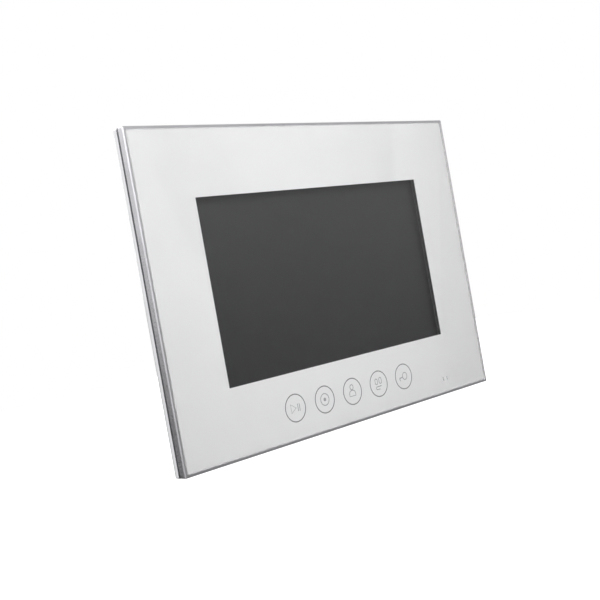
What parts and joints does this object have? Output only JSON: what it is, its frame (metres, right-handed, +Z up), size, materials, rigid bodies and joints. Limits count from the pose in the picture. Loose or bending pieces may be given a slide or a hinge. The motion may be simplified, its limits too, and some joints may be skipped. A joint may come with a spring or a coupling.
{
  "type": "video intercom monitor",
  "caption": "Slim wall-hung video intercom monitor with a white glass front, dark screen, ring-marked touch keys, metal trim and a hook-on wall bracket.",
  "frame": {"origin": "centre of the wall bracket's four screw holes, on the wall plane", "axes": "+X to the right as seen from the front, +Y into the wall, +Z up; the glass front faces -Y"},
  "size_m": [0.2206, 0.024, 0.1516],
  "materials": {
    "glass": "polished flat glass",
    "print_white": "white back print",
    "ink_grey": "printed ink",
    "foam_grey": "foam adhesive tape",
    "frame_metal": "brushed sides with a bright bevel",
    "shell_white": "gloss moulded",
    "cover_white": "fine texture moulded",
    "zinc_steel": "zinc plated sheet",
    "screw_steel": "dark zinc",
    "foam_black": "black foam",
    "lcd_dark": "dark polarised glass",
    "film_white": "white film",
    "acrylic": "clear acrylic",
    "led_white": "moulded with phosphor",
    "flex_amber": "polyimide film",
    "glue_ivory": "double-sided film",
    "board_green": "solder mask",
    "chip_black": "moulded epoxy",
    "cable_grey": "flat flexible cable",
    "mic_metal": "plain can",
    "rubber_dark": "moulded rubber",
    "speaker_grey": "moulded frame",
    "magnet_grey": "ferrite and steel cup",
    "cone_black": "pressed paper",
    "wire_red_black": "insulated wire",
    "socket_ivory": "moulded nylon",
    "socket_red": "moulded nylon",
    "pin_gold": "plated pins",
    "capacitor_can": "plain can on black base",
    "dip_blue": "moulded",
    "slider_white": "moulded",
    "socket_steel": "stamped shell",
    "card_black": "moulded card",
    "switch_grey": "moulded body",
    "knob_black": "moulded",
    "plunger_orange": "moulded"
  },
  "bodies": {
    "bracket": {"wall_bracket": "zinc_steel"},
    "monitor": {"front_glass": "glass", "panel_print": "print_white", "panel_tape": "foam_grey", "front_frame": "frame_metal", "front_housing": "shell_white", "rear_cover": "cover_white", "case_screws": "screw_steel", "lcd_gasket": "foam_black", "lcd_bezel": "zinc_steel", "lcd_cell": "lcd_dark", "lcd_diffuser": "film_white", "lcd_light_guide": "acrylic", "backlight_leds": "led_white", "lcd_flex": "flex_amber", "lcd_clips": "zinc_steel", "clip_screws": "screw_steel", "touch_adhesive": "glue_ivory", "touch_board": "board_green", "touch_chip": "chip_black", "key_leds": "led_white", "touch_cable": "cable_grey", "microphone": "mic_metal", "mic_boot": "rubber_dark", "speaker_frame": "speaker_grey", "speaker_magnet": "magnet_grey", "speaker_cone": "cone_black", "speaker_gasket": "foam_black", "speaker_plug": "socket_ivory", "speaker_lead": "wire_red_black", "main_board": "board_green", "main_chips": "chip_black", "shield_can": "zinc_steel", "capacitors": "capacitor_can", "inductors": "chip_black", "board_screws": "screw_steel", "door_sockets": "socket_ivory", "power_socket": "socket_red", "socket_pins": "pin_gold", "dip_switch": "dip_blue", "sd_socket": "socket_steel", "power_switch": "switch_grey", "reset_switch": "switch_grey"},
    "card": {"sd_card": "card_black"},
    "power_slider": {"power_knob": "knob_black"},
    "dip_1": {"dip_slider_1": "slider_white"},
    "dip_2": {"dip_slider_2": "slider_white"},
    "reset": {"reset_plunger": "plunger_orange"}
  },
  "joints": [
    {"name": "monitor_lift", "type": "slide", "parent": "bracket", "child": "monitor", "axis": [0, 0, 1], "range_m": [0, 0.006]},
    {"name": "card_release", "type": "slide", "parent": "monitor", "child": "card", "axis": [0, 0, -1], "range_m": [0, 0.004]},
    {"name": "power_slide", "type": "slide", "parent": "monitor", "child": "power_slider", "axis": [1, 0, 0], "range_m": [0, 0.0025]},
    {"name": "dip_1_slide", "type": "slide", "parent": "monitor", "child": "dip_1", "axis": [0, 0, 1], "range_m": [0, 0.0015]},
    {"name": "dip_2_slide", "type": "slide", "parent": "monitor", "child": "dip_2", "axis": [0, 0, 1], "range_m": [0, 0.0015]},
    {"name": "reset_press", "type": "slide", "parent": "monitor", "child": "reset", "axis": [0, 0, 1], "range_m": [0, 0.0003], "stiffness_N_per_m": 2000}
  ]
}
